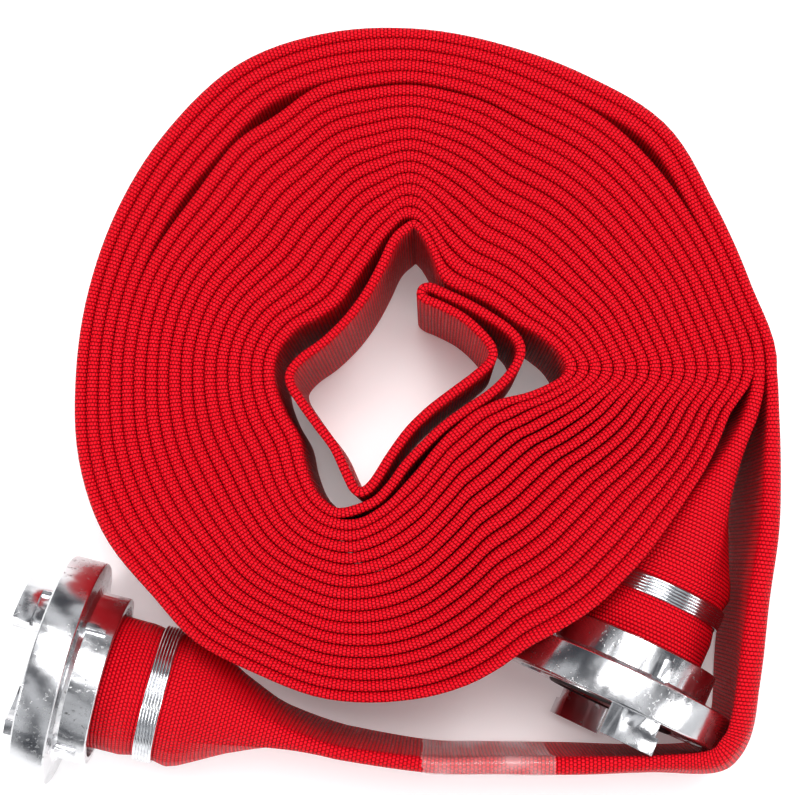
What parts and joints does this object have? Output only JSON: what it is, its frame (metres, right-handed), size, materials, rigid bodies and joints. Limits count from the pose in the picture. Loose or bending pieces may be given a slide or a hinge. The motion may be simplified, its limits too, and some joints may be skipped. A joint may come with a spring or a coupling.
{
  "type": "rolled fire hose",
  "caption": "Lay-flat woven hose folded at its middle and double-rolled on edge, with an aluminium quarter-turn claw coupling wired to each end",
  "frame": {"origin": "Middle of the whole object's footprint on the floor, under the roll and both couplings", "axes": "+Z is the roll's axis, up from the floor; +X points to the side where both hose runs leave the roll; +Y points away from the couplings"},
  "size_m": [0.3388, 0.3242, 0.0988],
  "materials": {
    "hose_jacket": "woven polyester, satin",
    "lining": "smooth",
    "cast_aluminium": "polished casting",
    "machined_aluminium": "turned",
    "seal_rubber": "matte",
    "spring_steel": "bright drawn",
    "binding_wire": "bright drawn wire",
    "clear_film": "clear film"
  },
  "bodies": {
    "root": {"hose_roll": "hose_jacket", "clear_tape_band": "clear_film", "left_hose_tail": "machined_aluminium", "left_face_seal": "seal_rubber", "left_snap_ring": "spring_steel", "left_wire_binding": "binding_wire", "left_hose_end": "hose_jacket", "left_hose_end_lining": "lining", "right_hose_tail": "machined_aluminium", "right_face_seal": "seal_rubber", "right_snap_ring": "spring_steel", "right_wire_binding": "binding_wire", "right_hose_end": "hose_jacket", "right_hose_end_lining": "lining"},
    "left_lug_ring": {"left_lug_ring": "cast_aluminium"},
    "right_lug_ring": {"right_lug_ring": "cast_aluminium"}
  },
  "joints": [
    {"name": "left_ring_turn", "type": "hinge", "parent": "root", "child": "left_lug_ring", "pos_m": [-0.14638, -0.11109, 0.04998], "axis": [-0.9658, 0.2498, 0.0698], "continuous": true},
    {"name": "right_ring_turn", "type": "hinge", "parent": "root", "child": "right_lug_ring", "pos_m": [0.09892, -0.12789, 0.04998], "axis": [-0.4216, -0.9041, 0.0698], "range_deg": [-4, 22]}
  ]
}
